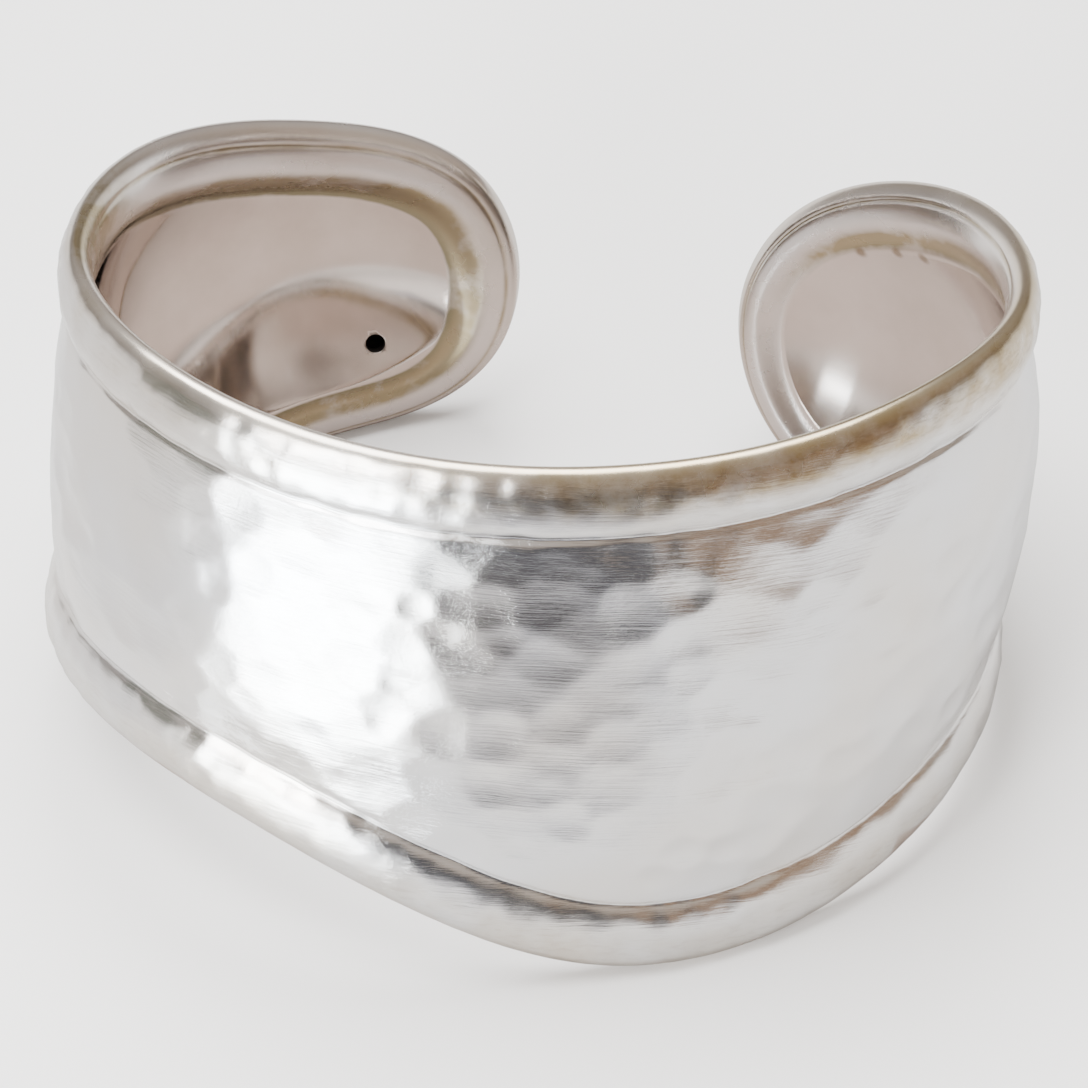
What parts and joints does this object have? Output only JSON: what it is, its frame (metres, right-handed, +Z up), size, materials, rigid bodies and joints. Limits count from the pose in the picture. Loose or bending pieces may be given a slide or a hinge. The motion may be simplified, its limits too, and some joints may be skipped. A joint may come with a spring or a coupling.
{
  "type": "cuff bracelet",
  "caption": "Open hammered metal cuff bracelet with a raised rounded rim all round, a wide front and two rounded dished ends, lying on its side.",
  "frame": {"origin": "centre of the bracelet's bounding box, on the surface that it rests on", "axes": "+Z up, with the wrist axis near vertical; the wide front faces -Y, the gap between the ends faces +Y, +X to the wearer's side of the taller half of the front"},
  "size_m": [0.0638, 0.052, 0.0394],
  "materials": {
    "cuff_band": "polished silver, lightly hammered and scratched"
  },
  "bodies": {
    "root": {"cuff_band": "cuff_band"}
  },
  "joints": []
}
